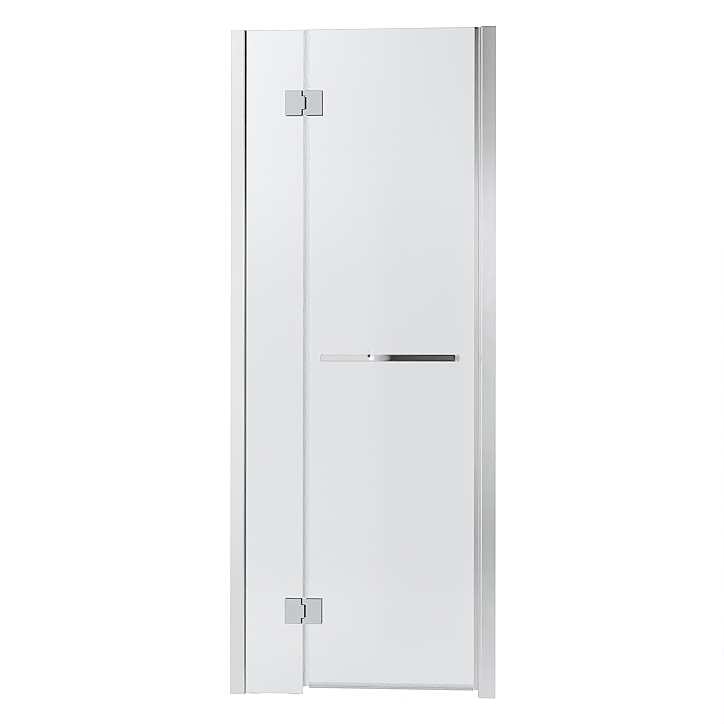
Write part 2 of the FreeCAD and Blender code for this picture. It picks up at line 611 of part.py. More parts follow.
def hinge(name, z):
    # fixed leaf, front: plate with a rounded tongue that holds the bush
    b = new_body(name + "_fixed_front_plate", z=z)
    sk = sketch_on(b, "XZ_Plane", lift=FRONT_SEAT)
    rectangle(sk, p.leaf_fix_out, -half_h, p.leaf_fix_in, half_h)
    pad(b, sk, p.plate_thick)
    soften(b, "Chamfer", p.plate_edge, plate_rim(-FRONT_FACE.value, lambda x: False))
    sk = sketch_on(b, "XY_Plane")
    rectangle(sk, p.leaf_fix_in - 2, axis_y - p.knuckle_rad, p.axis_x, axis_y + p.knuckle_rad)
    pad(b, sk, p.tongue_tall, both=True)
    sk = sketch_on(b, "XY_Plane")
    circle(sk, p.axis_x, axis_y, p.knuckle_rad)
    pad(b, sk, p.tongue_tall, both=True)
    sk = sketch_on(b, "XY_Plane")
    circle(sk, p.axis_x, axis_y, p.bush_rad)
    pocket(b, sk, p.plate_tall * 2, both=True)
    tapped_holes(b, LEAF_FIX_MID)
    # door leaf, front: plate with two rounded ears that hold the pin
    b = new_body(name + "_door_front_plate", z=z)
    sk = sketch_on(b, "XZ_Plane", lift=FRONT_SEAT)
    rectangle(sk, p.leaf_door_in, -half_h, p.leaf_door_out, half_h)
    pad(b, sk, p.plate_thick)
    soften(b, "Chamfer", p.plate_edge, plate_rim(-FRONT_FACE.value, lambda x: False))
    ear_from = p.tongue_tall / 2 + p.tongue_gap
    sk = sketch_on(b, "XY_Plane", lift=ear_from)
    rectangle(sk, p.axis_x, axis_y - p.knuckle_rad, p.leaf_door_in + 2, axis_y + p.knuckle_rad)
    ear_neck = pad(b, sk, half_h - ear_from)
    sk = sketch_on(b, "XY_Plane", lift=ear_from)
    circle(sk, p.axis_x, axis_y, p.knuckle_rad)
    ear_end = pad(b, sk, half_h - ear_from)
    m = b.newObject("PartDesign::Mirrored", "Mirrored")
    m.Originals = [ear_neck, ear_end]
    m.MirrorPlane = ([f for f in b.Origin.OriginFeatures if f.Role == "XY_Plane"][0], [""])
    b.Tip = m
    doc.recompute()
    sk = sketch_on(b, "XY_Plane")
    circle(sk, p.axis_x, axis_y, p.ear_bore_rad)
    pocket(b, sk, p.plate_tall * 2, both=True)
    tapped_holes(b, LEAF_DOOR_MID)
    # clamp plates on the shower side
    rear_plate(name + "_fixed_rear_plate", z, p.leaf_fix_out, p.leaf_fix_in, LEAF_FIX_MID)
    rear_plate(name + "_door_rear_plate", z, p.leaf_door_in, p.leaf_door_out, LEAF_DOOR_MID)
    i = p.pad_inset
    hi, ear, tongue = half_h - i, ear_from + i, p.tongue_tall / 2 - i
    out, near, tab = p.leaf_fix_out + i, p.leaf_fix_in - i, p.axis_x - p.pad_tab_fix
    clamp_gaskets(name + "_fixed_gaskets", z,
                  [(out, -hi), (tab, -hi), (tab, -ear), (near, -ear), (near, ear), (tab, ear), (tab, hi), (out, hi)],
                  [(out, -hi), (near, -hi), (near, hi), (out, hi)], LEAF_FIX_MID)
    out, near, tab = p.leaf_door_out - i, p.leaf_door_in + i, p.axis_x + p.pad_tab_door
    clamp_gaskets(name + "_door_gaskets", z,
                  [(out, -hi), (out, hi), (near, hi), (near, tongue), (tab, tongue), (tab, -tongue), (near, -tongue),
                   (near, -hi)],
                  [(out, -hi), (out, hi), (near, hi), (near, -hi)], LEAF_DOOR_MID)
    for leaf, mid in (("fixed", LEAF_FIX_MID), ("door", LEAF_DOOR_MID)):
        spots = [(mid, p.screw_off), (mid, -p.screw_off)]
        sleeves("%s_%s_sleeves" % (name, leaf), z, spots, p.sleeve_rad, p.clear_rad)
        socket_screws("%s_%s_screws" % (name, leaf), z, spots, REAR_FACE - p.sink_deep, p.screw_head_rad,
                      p.screw_head, p.screw_rad, -(FRONT_SEAT + p.tap_deep - 0.5), p.hex_rad, p.hex_deep)
    # pin, bush and thrust washers on the hinge axis
    b = new_body(name + "_pin", z=z)
    sk = sketch_on(b, "XY_Plane")
    circle(sk, p.axis_x, axis_y, p.pin_rad)
    pad(b, sk, p.pin_tall, both=True)
    soften(b, "Chamfer", 0.4, lambda e: e.BoundBox.ZLength < 1e-3)
    b = new_body(name + "_bush", z=z)
    sk = sketch_on(b, "XY_Plane")
    circle(sk, p.axis_x, axis_y, p.bush_rad)
    circle(sk, p.axis_x, axis_y, p.bush_bore_rad)
    pad(b, sk, p.tongue_tall, both=True)
    b = new_body(name + "_thrust_washers", z=z)
    for lift, away in ((p.tongue_tall / 2, False), (-(p.tongue_tall / 2), True)):
        sk = sketch_on(b, "XY_Plane", lift=lift)
        circle(sk, p.axis_x, axis_y, p.washer_rad)
        circle(sk, p.axis_x, axis_y, p.bush_bore_rad)
        pad(b, sk, p.washer_thick, back=away)


hinge("upper_hinge", p.hinge_high)
hinge("lower_hinge", p.hinge_low)


# ---------------------------------------------------------------- bar handle
LEFT_END = p.bar_mid_x - p.bar_len / 2
RIGHT_END = p.bar_mid_x + p.bar_len / 2
FOOT_Y = -(half_t + p.foot_pad)
BAR_BACK = p.bar_thick - p.bar_front
b = new_body("handle_bar", z=p.bar_z)
sk = sketch_on(b, "XY_Plane")
outline(sk, [
    (LEFT_END, FOOT_Y), (LEFT_END, -p.bar_front), (RIGHT_END, -p.bar_front), (RIGHT_END, FOOT_Y),
    (RIGHT_END - p.bar_thick, FOOT_Y), (RIGHT_END - p.bar_thick, BAR_BACK),
    (LEFT_END + p.bar_thick, BAR_BACK), (LEFT_END + p.bar_thick, FOOT_Y),
])
pad(b, sk, p.bar_tall, both=True)
soften(b, "Fillet", p.bend_rad, upright_at((LEFT_END, -p.bar_front), (RIGHT_END, -p.bar_front)))
soften(b, "Fillet", p.bend_in_rad,
       upright_at((LEFT_END + p.bar_thick, BAR_BACK), (RIGHT_END - p.bar_thick, BAR_BACK)))
top, foot = (p.bar_tall / 2).value, FOOT_Y.value
soften(b, "Fillet", p.bar_edge, lambda e: e.BoundBox.ZLength < 1e-3 and abs(abs(e.BoundBox.ZMin) - top) < 1e-3
       and not (e.BoundBox.YLength < 1e-3 and abs(e.BoundBox.YMin - foot) < 1e-3))
sk = sketch_on(b, "XZ_Plane", lift=-FOOT_Y)
circle(sk, FOOT_LEFT, 0, p.handle_tap_rad)
circle(sk, FOOT_RIGHT, 0, p.handle_tap_rad)
pocket(b, sk, p.handle_tap, back=True)

# pads between the handle's feet, the rosettes and the glass
b = new_body("handle_pads", z=p.bar_z)
sk = sketch_on(b, "XZ_Plane", lift=half_t)
for x in (FOOT_LEFT, FOOT_RIGHT):
    hw, hh = p.bar_thick / 2 - 0.4, p.bar_tall / 2 - 1.6
    rectangle(sk, x - hw, -hh, x + hw, hh)
    circle(sk, x, 0, p.handle_clear_rad)
pad(b, sk, p.foot_pad)
sk = sketch_on(b, "XZ_Plane", lift=-(half_t + p.foot_pad))
for x in (FOOT_LEFT, FOOT_RIGHT):
    circle(sk, x, 0, p.rosette_rad - 0.6)
    circle(sk, x, 0, p.handle_clear_rad)
pad(b, sk, p.foot_pad)

feet = [(FOOT_LEFT, 0), (FOOT_RIGHT, 0)]
sleeves("handle_sleeves", p.bar_z, feet, p.handle_sleeve_rad, p.handle_clear_rad)

# rosettes on the shower side, each with a sunk socket screw
ROSETTE_SEAT = half_t + p.foot_pad
ROSETTE_FACE = ROSETTE_SEAT + p.rosette_thick
b = new_body("handle_rosettes", z=p.bar_z)
sk = sketch_on(b, "XZ_Plane", lift=-ROSETTE_FACE)
for x, z in feet:
    circle(sk, x, z, p.rosette_rad)
pad(b, sk, p.rosette_thick)
far = ROSETTE_FACE.value
soften(b, "Chamfer", p.rosette_edge, lambda e: e.BoundBox.YLength < 1e-3 and abs(e.BoundBox.YMin - far) < 1e-3)
sk = sketch_on(b, "XZ_Plane", lift=-ROSETTE_FACE)
for x, z in feet:
    circle(sk, x, z, p.handle_clear_rad)
pocket(b, sk, p.rosette_thick * 3, both=True)
sk = sketch_on(b, "XZ_Plane", lift=-ROSETTE_FACE)
for x, z in feet:
    circle(sk, x, z, p.handle_sink_rad)
pocket(b, sk, p.handle_sink * 2, both=True)

socket_screws("handle_screws", p.bar_z, feet, ROSETTE_FACE - p.handle_sink, p.handle_head_rad, p.handle_head,
              p.handle_screw_rad, FOOT_Y - p.handle_tap + 1, Dim.of(1.75), Dim.of(2.2))


# ---------------------------------------------------------------- seals on the door
def hinge_side_seal(label, low, high):
    """Clip-on strip along the door's hinge edge: a hollow bulb towards the fixed pane,
    and a lip in front that closes the gap."""
    b = new_body(label, z=low)
    e, w, inner = p.door_left, p.seal_wall, half_t + p.seal_air
    outer, web = inner + w, e - p.seal_air
    lip, lip_in = p.panel_right - p.cover_lap, half_t + p.cover_air
    sk = sketch_on(b, "XY_Plane")
    outline(sk, [
        (lip, -lip_in), (lip, -outer), (e + p.seal_leg, -outer), (e + p.seal_leg, -inner), (web, -inner),
        (web, inner), (e + p.seal_leg, inner), (e + p.seal_leg, outer), (web - w, outer),
        (web - w, -lip_in)])
    pad(b, sk, high - low)
    sk = sketch_on(b, "XY_Plane")
    circle(sk, e - p.bulb_mid, 0, p.bulb_rad)
    pad(b, sk, high - low)
    sk = sketch_on(b, "XY_Plane")
    circle(sk, e - p.bulb_mid, 0, p.bulb_hole_rad)
    pocket(b, sk, (high - low) * 3, both=True)


clear = half_h + p.seal_cut
hinge_side_seal("hinge_seal_bottom", p.door_low - 2, p.hinge_low - clear)
hinge_side_seal("hinge_seal_middle", p.hinge_low + clear, p.hinge_high - clear)
hinge_side_seal("hinge_seal_top", p.hinge_high + clear, p.glass_top - 1)

# bottom sweep: clip with a front skirt, a wiper and a drip fin on the shower side
b = new_body("bottom_sweep")
sw, i, z0 = p.sweep_wall, half_t + p.seal_air, p.door_low
o, web = i + sw, z0 - p.seal_air
sk = sketch_on(b, "YZ_Plane", lift=p.sweep_from)
outline(sk, [
    (-o, p.sweep_low + 1), (-o, p.sweep_top), (-i, p.sweep_top), (-i, web), (i, web), (i, p.sweep_top),
    (o, p.sweep_top), (o, z0 + 6), (o + 6.6, z0 - 1.6), (o + 5.8, z0 - 2.4), (o, z0 + 4.2), (o, z0 - sw - 0.2),
    (sw / 2, z0 - sw - 0.2), (sw / 2, p.sweep_low), (-sw / 2, p.sweep_low), (-sw / 2, z0 - sw - 0.2),
    (-i, z0 - sw - 0.2), (-i, p.sweep_low + 1)])
pad(b, sk, p.sweep_to - p.sweep_from)

# strike-side seal: clip with a closed chamber that holds the magnet strip
b = new_body("strike_side_seal", z=p.strike_low)
e, w, i = p.door_right, p.strike_wall, half_t + p.seal_air
o, web = i + w, e + p.seal_air
seal_tall = p.glass_top - 1 - p.strike_low
sk = sketch_on(b, "XY_Plane")
outline(sk, [
    (e - p.strike_leg, -o), (e + p.strike_out, -o), (e + p.strike_out, o), (e - p.strike_leg, o),
    (e - p.strike_leg, i), (web, i), (web, -i), (e - p.strike_leg, -i)])
pad(b, sk, seal_tall)
soften(b, "Fillet", 0.9, upright_at((e + p.strike_out, -o), (e + p.strike_out, o)))
sk = sketch_on(b, "XY_Plane")
m0 = e + w
rectangle(sk, m0, -p.magnet_half - 0.1, m0 + p.magnet_thick + 0.2, p.magnet_half + 0.1)
pocket(b, sk, seal_tall * 3, both=True)
b = new_body("door_magnet_strip", z=p.strike_low)
sk = sketch_on(b, "XY_Plane")
rectangle(sk, m0 + 0.1, -p.magnet_half, m0 + 0.1 + p.magnet_thick, p.magnet_half)
pad(b, sk, seal_tall)

# ---------------------------------------------------------------- checks and files
doc.recompute()
for obj in doc.Objects:
    if "Invalid" in obj.State or "Error" in obj.State:
        raise RuntimeError("%s failed: %s" % (obj.Label, obj.State))
for piece in PIECES:
    shape = piece.Shape
    if shape.isNull() or not shape.isValid() or not shape.Solids:
        raise RuntimeError("%s has no valid solid" % piece.Label)

os.makedirs("parts", exist_ok=True)
for piece in PIECES:
    piece.Shape.exportStep(os.path.join("parts", piece.Label + ".step"))
    bb = piece.Shape.BoundBox
    print("%-32s solids %d  volume %10.1f  x %8.2f %8.2f  y %7.2f %7.2f  z %8.2f %8.2f" % (
        piece.Label, len(piece.Shape.Solids), piece.Shape.Volume,
        bb.XMin, bb.XMax, bb.YMin, bb.YMax, bb.ZMin, bb.ZMax))
print("pieces", len(PIECES))
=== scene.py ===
"""Looks for the hinged shower door: the finish of every piece, a pale floor,
soft studio light and the camera. Metres, +Z up, the room side is -Y."""

import json
import math

import bpy
from mathutils import Matrix, Vector

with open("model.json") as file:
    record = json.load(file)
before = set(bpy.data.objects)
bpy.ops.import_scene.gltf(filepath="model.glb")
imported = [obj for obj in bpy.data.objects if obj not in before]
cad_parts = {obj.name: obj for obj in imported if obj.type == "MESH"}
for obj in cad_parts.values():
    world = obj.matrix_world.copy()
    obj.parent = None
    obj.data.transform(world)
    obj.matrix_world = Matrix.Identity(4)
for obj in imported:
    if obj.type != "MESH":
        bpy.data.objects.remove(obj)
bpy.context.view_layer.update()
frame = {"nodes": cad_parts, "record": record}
nodes = frame["nodes"]
scene = bpy.context.scene


# --------------------------------------------------------------------------
# Short-hand for node trees
# --------------------------------------------------------------------------
class Graph:
    """Builds one node tree. A number or colour given to put() is set on the
    socket itself; an output socket given to it is linked."""

    def __init__(self, tree):
        self.tree = tree
        tree.nodes.clear()

    def add(self, kind, **settings):
        made = self.tree.nodes.new(kind)
        for name, value in settings.items():
            setattr(made, name, value)
        return made

    def put(self, socket, value):
        if isinstance(value, bpy.types.NodeSocket):
            self.tree.links.new(value, socket)
        elif isinstance(value, (tuple, list)) and len(value) == 3 and socket.type == "RGBA":
            socket.default_value = (*value, 1.0)
        else:
            socket.default_value = value

    def maths(self, operation, *values, clamp=False):
        n = self.add("ShaderNodeMath", operation=operation, use_clamp=clamp)
        for socket, value in zip(n.inputs, values):
            self.put(socket, value)
        return n.outputs[0]

    def times(self, *values):
        """The product of several numbers."""
        made = values[0]
        for value in values[1:]:
            made = self.maths("MULTIPLY", made, value)
        return made

    def remap(self, value, low, high, to_low=0.0, to_high=1.0, smooth=False):
        n = self.add(
            "ShaderNodeMapRange",
            interpolation_type="SMOOTHSTEP" if smooth else "LINEAR",
            clamp=True,
        )
        for name, v in (
            ("Value", value),
            ("From Min", low),
            ("From Max", high),
            ("To Min", to_low),
            ("To Max", to_high),
        ):
            self.put(n.inputs[name], v)
        return n.outputs["Result"]

    def blend(self, factor, a, b):
        """a where factor is 0 and b where it is 1, for numbers."""
        n = self.add("ShaderNodeMix", data_type="FLOAT")
        self.put(n.inputs["Factor"], factor)
        self.put(n.inputs["A"], a)
        self.put(n.inputs["B"], b)
        return n.outputs["Result"]

    def tint(self, factor, a, b):
        """The same for colours."""
        n = self.add("ShaderNodeMix", data_type="RGBA")
        self.put(n.inputs[0], factor)
        self.put(n.inputs[6], a)
        self.put(n.inputs[7], b)
        return n.outputs[2]

    def curve(self, value, low, high, stops):
        """A number that runs through stops, [(at, number)], between low and high."""
        at = self.remap(value, low, high)
        n = self.add("ShaderNodeValToRGB")
        ramp = n.color_ramp
        ramp.interpolation = "EASE"
        while len(ramp.elements) < len(stops):
            ramp.elements.new(1.0)
        for e, (where, number) in zip(ramp.elements, stops):
            e.position = (where - low) / (high - low)
            e.color = (number, number, number, 1.0)
        self.put(n.inputs[0], at)
        return n.outputs["Color"]

    def scaled(self, vector, factors):
        n = self.add("ShaderNodeMapping")
        self.put(n.inputs["Vector"], vector)
        n.inputs["Scale"].default_value = factors
        return n.outputs["Vector"]

    def noise(self, vector, scale, detail=2.0, roughness=0.5, warp=0.0):
        n = self.add("ShaderNodeTexNoise")
        self.put(n.inputs["Vector"], vector)
        self.put(n.inputs["Scale"], scale)
        self.put(n.inputs["Detail"], detail)
        self.put(n.inputs["Roughness"], roughness)
        self.put(n.inputs["Distortion"], warp)
        return n.outputs["Fac"]

    def bump(self, height, strength, distance, under=None):
        n = self.add("ShaderNodeBump")
        self.put(n.inputs["Strength"], strength)
        self.put(n.inputs["Distance"], distance)
        self.put(n.inputs["Height"], height)
        if under is not None:
            self.put(n.inputs["Normal"], under)
        return n.outputs["Normal"]

    def split(self, vector):
        n = self.add("ShaderNodeSeparateXYZ")
        self.put(n.inputs[0], vector)
        return n.outputs


def material(name, settings):
    """A new material with one Principled shader. settings maps its sockets to
    plain values. Returns the material, its graph, shader and output."""
    m = bpy.data.materials.new(name)
    m.use_nodes = True
    g = Graph(m.node_tree)
    shader = g.add("ShaderNodeBsdfPrincipled")
    out = g.add("ShaderNodeOutputMaterial")
    g.put(out.inputs["Surface"], shader.outputs[0])
    for socket, value in settings.items():
        g.put(shader.inputs[socket], value)
    return m, g, shader, out


def places(g):
    """The piece's own coordinates, in metres."""
    return g.add("ShaderNodeTexCoord").outputs["Object"]


# --------------------------------------------------------------------------
# Finishes
# --------------------------------------------------------------------------
def bright_aluminium():
    """Polished, bright-anodised extrusion: fine die lines along its length."""
    m, g, s, _ = material(
        "bright_aluminium", {"Metallic": 1.0, "IOR": 1.45, "Specular IOR Level": 0.5}
    )
    at = places(g)
    lines = g.noise(g.scaled(at, (1.0, 1.0, 0.0016)), 1500.0, 3.0, 0.6)
    drift = g.noise(g.scaled(at, (8.0, 8.0, 1.3)), 3.0, 3.0, 0.55, 0.4)
    cloud = g.noise(at, 26.0, 4.0, 0.6)
    shade = g.blend(0.35, lines, drift)
    g.put(
        s.inputs["Base Color"],
        g.tint(g.remap(shade, 0.3, 0.7), (0.856, 0.866, 0.882), (0.882, 0.891, 0.907)),
    )
    rough = g.maths("ADD", g.remap(lines, 0.3, 0.7, 0.05, 0.085), g.remap(cloud, 0.35, 0.7, 0.0, 0.025))
    g.put(s.inputs["Roughness"], rough)
    g.put(s.inputs["Normal"], g.bump(lines, 0.03, 0.00005))
    return m


def mirror_chrome():
    """The bar's mirror chrome: crisp, with a faint haze of wiping marks."""
    m, g, s, _ = material("mirror_chrome", {"Metallic": 1.0, "IOR": 1.45})
    at = places(g)
    smear = g.noise(g.scaled(at, (14.0, 40.0, 60.0)), 2.0, 5.0, 0.62, 0.8)
    hair = g.noise(g.scaled(at, (0.03, 1.0, 1.0)), 2600.0, 2.0, 0.7)
    g.put(
        s.inputs["Base Color"],
        g.tint(g.remap(smear, 0.3, 0.7), (0.755, 0.763, 0.776), (0.785, 0.792, 0.804)),
    )
    g.put(
        s.inputs["Roughness"],
        g.maths("ADD", g.remap(smear, 0.4, 0.8, 0.006, 0.018), g.remap(hair, 0.45, 0.8, 0.0, 0.006)),
    )
    return m


def chrome_plate():
    """The hinge plates' chrome. The sawn sides are left satin, and painted shade, keyed to how each face is turned,
    makes them near black, so the broken edge between them and the polished face shows as a fine dark line."""
    m, g, s, _ = material("chrome_plate", {"Metallic": 1.0, "IOR": 1.45})
    at = places(g)
    smear = g.noise(g.scaled(at, (30.0, 30.0, 75.0)), 2.0, 5.0, 0.62, 0.8)
    hair = g.noise(g.scaled(at, (1.0, 1.0, 0.05)), 2600.0, 2.0, 0.7)
    face = g.tint(g.remap(smear, 0.3, 0.7), (0.712, 0.740, 0.766), (0.748, 0.774, 0.798))
    rough = g.maths(
        "ADD", g.remap(smear, 0.35, 0.75, 0.025, 0.070), g.remap(hair, 0.4, 0.8, 0.0, 0.03)
    )
    normal = g.split(g.add("ShaderNodeTexCoord").outputs["Normal"])
    # painted shade: faces turned away from the front are painted near black
    side = g.remap(g.maths("ABSOLUTE", normal["Y"]), 0.90, 0.55)
    g.put(s.inputs["Base Color"], g.tint(side, face, (0.105, 0.108, 0.113)))
    g.put(s.inputs["Roughness"], g.blend(side, rough, 0.32))
    g.put(s.inputs["Normal"], g.bump(hair, 0.03, 0.00003, g.bump(smear, 0.02, 0.0004)))
    return m


def clear_glass():
    """Toughened float glass: a grey cast across, greener at its ground edges, a
    trace of dried film, and the faint roller wave of the furnace."""
    m, g, s, _ = material(
        "clear_glass", {"IOR": 1.5}
    )
    at = places(g)
    film = g.noise(g.scaled(at, (1.0, 1.0, 0.35)), 9.0, 5.0, 0.6, 0.5)
    across = g.tint(g.remap(film, 0.3, 0.7), (0.732, 0.740, 0.754), (0.738, 0.746, 0.760))
    normal = g.split(g.add("ShaderNodeTexCoord").outputs["Normal"])
    edge = g.remap(g.maths("ABSOLUTE", normal["Y"]), 0.95, 0.60)
    ground = g.remap(g.maths("ABSOLUTE", normal["Z"]), 0.60, 0.95)
    rim = g.tint(ground, (0.84, 0.90, 0.885), (0.70, 0.81, 0.78))
    g.put(s.inputs["Base Color"], g.tint(edge, across, rim))
    g.put(s.inputs["Transmission Weight"], g.blend(ground, g.blend(edge, 1.0, 0.75), 0.30))
    g.put(s.inputs["Roughness"], g.blend(ground, 0.0, 0.22))
    wave = g.noise(g.scaled(at, (0.25, 0.25, 1.0)), 4.0, 1.0, 0.4)
    g.put(s.inputs["Normal"], g.bump(wave, 0.05, 0.0006))
    return m


def sweep_vinyl():
    """The bottom sweep: a clear clip on the glass, and a greyer skirt and wiper
    below its thick web, with draw lines along the door."""
    m, g, s, _ = material(
        "sweep_vinyl", {"IOR": 1.06, "Transmission Weight": 1.0, "Coat Weight": 0.3, "Coat Roughness": 0.1}
    )
    at = places(g)
    lines = g.noise(g.scaled(at, (0.0012, 1.0, 1.0)), 1400.0, 2.0, 0.6)
    cloud = g.noise(g.scaled(at, (0.2, 1.0, 1.0)), 45.0, 4.0, 0.6)
    clip = g.tint(g.remap(cloud, 0.3, 0.7), (0.905, 0.909, 0.929), (0.913, 0.917, 0.937))
    skirt = g.tint(g.remap(cloud, 0.3, 0.7), (0.705, 0.710, 0.740), (0.725, 0.730, 0.760))
    web = g.tint(g.remap(cloud, 0.3, 0.7), (0.670, 0.677, 0.707), (0.690, 0.697, 0.727))
    height = g.split(at)["Z"]
    low = g.tint(g.remap(height, 0.0240, 0.0246), skirt, web)
    g.put(s.inputs["Base Color"], g.tint(g.remap(height, 0.0259, 0.0265), low, clip))
    g.put(s.inputs["Roughness"], g.remap(lines, 0.3, 0.7, 0.03, 0.05))
    g.put(s.inputs["Normal"], g.bump(lines, 0.02, 0.00005))
    return m


def hinge_vinyl():
    """The hinge-side seal, drawn in two grades of PVC: a clear clip on the glass
    and a softer, milkier lip and bulb in the gap."""
    m, g, s, _ = material(
        "hinge_vinyl", {"IOR": 1.06, "Transmission Weight": 1.0, "Coat Weight": 0.3, "Coat Roughness": 0.1}
    )
    at = places(g)
    lines = g.noise(g.scaled(at, (1.0, 1.0, 0.01)), 1400.0, 2.0, 0.6)
    cloud = g.noise(g.scaled(at, (1.0, 1.0, 0.2)), 45.0, 4.0, 0.6)
    soft = g.remap(g.split(at)["X"], -0.1660, -0.1664)
    clip = g.tint(g.remap(cloud, 0.3, 0.7), (0.950, 0.956, 0.966), (0.958, 0.964, 0.974))
    grey = g.tint(g.remap(cloud, 0.3, 0.7), (0.785, 0.795, 0.815), (0.800, 0.810, 0.830))
    pale = g.tint(g.remap(cloud, 0.3, 0.7), (0.825, 0.834, 0.852), (0.840, 0.849, 0.867))
    # the bulb runs a little paler towards the top
    bulb = g.tint(g.remap(g.split(at)["Z"], 0.3, 1.7), grey, pale)
    # painted highlight: the lip's edge beside the fixed glass is painted near white, growing towards the top
    painted_highlight_tip = g.maths(
        "MULTIPLY",
        g.remap(g.split(at)["X"], -0.1732, -0.1742),
        g.remap(g.split(at)["Z"], 0.8, 1.6, smooth=True),
    )
    g.put(s.inputs["Base Color"], g.tint(soft, clip, g.tint(painted_highlight_tip, bulb, (0.96, 0.965, 0.97))))
    g.put(s.inputs["Roughness"], g.remap(lines, 0.3, 0.7, 0.03, 0.07))
    g.put(s.inputs["Normal"], g.bump(lines, 0.02, 0.00006))
    return m


def chrome_vinyl():
    """The magnetic edge strip: vinyl under a bright metallised film, with painted shade darkening it over the top
    few centimetres and near black at its top end.
    """
    m, g, s, _ = material("chrome_vinyl", {"Metallic": 0.92, "IOR": 1.5, "Coat Weight": 0.3, "Coat Roughness": 0.08})
    at = places(g)
    lines = g.noise(g.scaled(at, (1.0, 1.0, 0.004)), 1300.0, 3.0, 0.6)
    cloud = g.noise(g.scaled(at, (1.0, 1.0, 0.2)), 60.0, 4.0, 0.6)
    film = g.tint(g.remap(cloud, 0.3, 0.7), (0.735, 0.745, 0.760), (0.765, 0.775, 0.790))
    height = g.split(at)["Z"]
    # painted shade: the film is painted darker near the top and near black at the very top end
    film = g.tint(g.remap(height, 1.885, 1.942, smooth=True), film, (0.600, 0.608, 0.620))
    g.put(s.inputs["Base Color"], g.tint(g.remap(height, 1.9435, 1.9450), film, (0.20, 0.205, 0.21)))
    g.put(s.inputs["Roughness"], g.remap(lines, 0.3, 0.7, 0.03, 0.06))
    g.put(s.inputs["Normal"], g.bump(lines, 0.02, 0.00005))
    return m


def moulded(name, pale, dark, rough, grain, depth, more=None):
    """Opaque moulded or extruded plastic or rubber with a fine skin."""
    m, g, s, _ = material(name, {"IOR": 1.5, **(more or {})})
    at = places(g)
    skin = g.noise(at, grain, 3.0, 0.6)
    cloud = g.noise(at, 60.0, 4.0, 0.6)
    g.put(s.inputs["Base Color"], g.tint(g.remap(cloud, 0.3, 0.7), dark, pale))
    g.put(s.inputs["Roughness"], g.remap(skin, 0.3, 0.7, rough[0], rough[1]))
    g.put(s.inputs["Normal"], g.bump(skin, 0.25, depth))
    return m


def silver_cap():
    """The caps on the channels: silver moulded plastic with a lip along the front. The front faces carry painted
    light: pale on the left, darkening towards the right.
    """
    m, g, s, _ = material("silver_cap", {"IOR": 1.5})
    at = places(g)
    skin = g.noise(at, 2200.0, 3.0, 0.6)
    cloud = g.noise(at, 60.0, 4.0, 0.6)
    top = g.tint(g.remap(cloud, 0.3, 0.7), (0.50, 0.505, 0.515), (0.56, 0.565, 0.575))
    # painted light: the front faces are painted pale on the left and dark on the right, as the light falls
    lip = g.tint(g.remap(g.split(at)["X"], -0.3, 0.3), (0.86, 0.865, 0.875), (0.30, 0.305, 0.315))
    normal = g.split(g.add("ShaderNodeTexCoord").outputs["Normal"])
    g.put(s.inputs["Base Color"], g.tint(g.remap(normal["Y"], -0.5, -0.9), top, lip))
    g.put(s.inputs["Roughness"], g.remap(skin, 0.3, 0.7, 0.36, 0.52))
    g.put(s.inputs["Normal"], g.bump(skin, 0.25, 0.00008))
    return m


def hinge_rubber():
    """The clamp gaskets in the hinges: rubber, paler in the lower hinge and darker in the upper one, a painted shade
    for the upper hinge's darker gaps.
    """
    m, g, s, _ = material("hinge_rubber", {"IOR": 1.5})
    at = places(g)
    skin = g.noise(at, 1500.0, 3.0, 0.6)
    cloud = g.noise(at, 60.0, 4.0, 0.6)
    low = g.tint(g.remap(cloud, 0.3, 0.7), (0.340, 0.315, 0.292), (0.380, 0.352, 0.327))
    high = g.tint(g.remap(cloud, 0.3, 0.7), (0.290, 0.272, 0.255), (0.330, 0.310, 0.291))
    # painted shade: the gaskets are painted darker in the upper hinge than in the lower one
    g.put(s.inputs["Base Color"], g.tint(g.remap(g.split(at)["Z"], 0.5, 1.5), low, high))
    g.put(s.inputs["Roughness"], g.remap(skin, 0.3, 0.7, 0.30, 0.46))
    g.put(s.inputs["Normal"], g.bump(skin, 0.25, 0.00006))
    return m


def glazing_rubber():
    """The glass gasket: black rubber with a painted sheen that turns it greyer towards the tray."""
    m, g, s, _ = material("glazing_rubber", {"IOR": 1.5})
    at = places(g)
    height = g.split(at)["Z"]
    skin = g.noise(at, 1500.0, 3.0, 0.6)
    cloud = g.noise(g.scaled(at, (1.0, 1.0, 0.12)), 60.0, 4.0, 0.6)
    # painted sheen: the black rubber is painted greyer towards the tray, standing in for reflected light
    painted_sheen = g.curve(
        height, 0.0, 2.0, [(0.0, 0.55), (0.16, 0.32), (0.45, 0.20), (0.75, 0.25), (1.25, 0.26), (1.55, 0.10), (1.75, 0.02), (1.95, 0.006)]
    )
    painted_sheen = g.maths("MULTIPLY", painted_sheen, g.remap(cloud, 0.3, 0.7, 0.85, 1.15))
    grey = g.add("ShaderNodeCombineColor")
    for socket, share in zip(grey.inputs, (0.98, 1.0, 1.03)):
        g.put(socket, g.maths("MULTIPLY", painted_sheen, share))
    g.put(s.inputs["Base Color"], grey.outputs[0])
    g.put(s.inputs["Roughness"], g.remap(skin, 0.3, 0.7, 0.34, 0.50))
    g.put(s.inputs["Normal"], g.bump(skin, 0.25, 0.00006))
    return m


def stainless_steel():
    """Turned stainless screws and pins."""
    m, g, s, _ = material("stainless_steel", {"Metallic": 1.0, "IOR": 1.45})
    at = places(g)
    grain = g.noise(g.scaled(at, (1.0, 0.06, 1.0)), 3200.0, 3.0, 0.65)
    cloud = g.noise(at, 180.0, 3.0, 0.6)
    g.put(
        s.inputs["Base Color"],
        g.tint(g.remap(cloud, 0.3, 0.7), (0.50, 0.50, 0.49), (0.60, 0.60, 0.595)),
    )
    g.put(s.inputs["Roughness"], g.remap(grain, 0.3, 0.7, 0.20, 0.36))
    g.put(s.inputs["Normal"], g.bump(grain, 0.12, 0.00005))
    return m


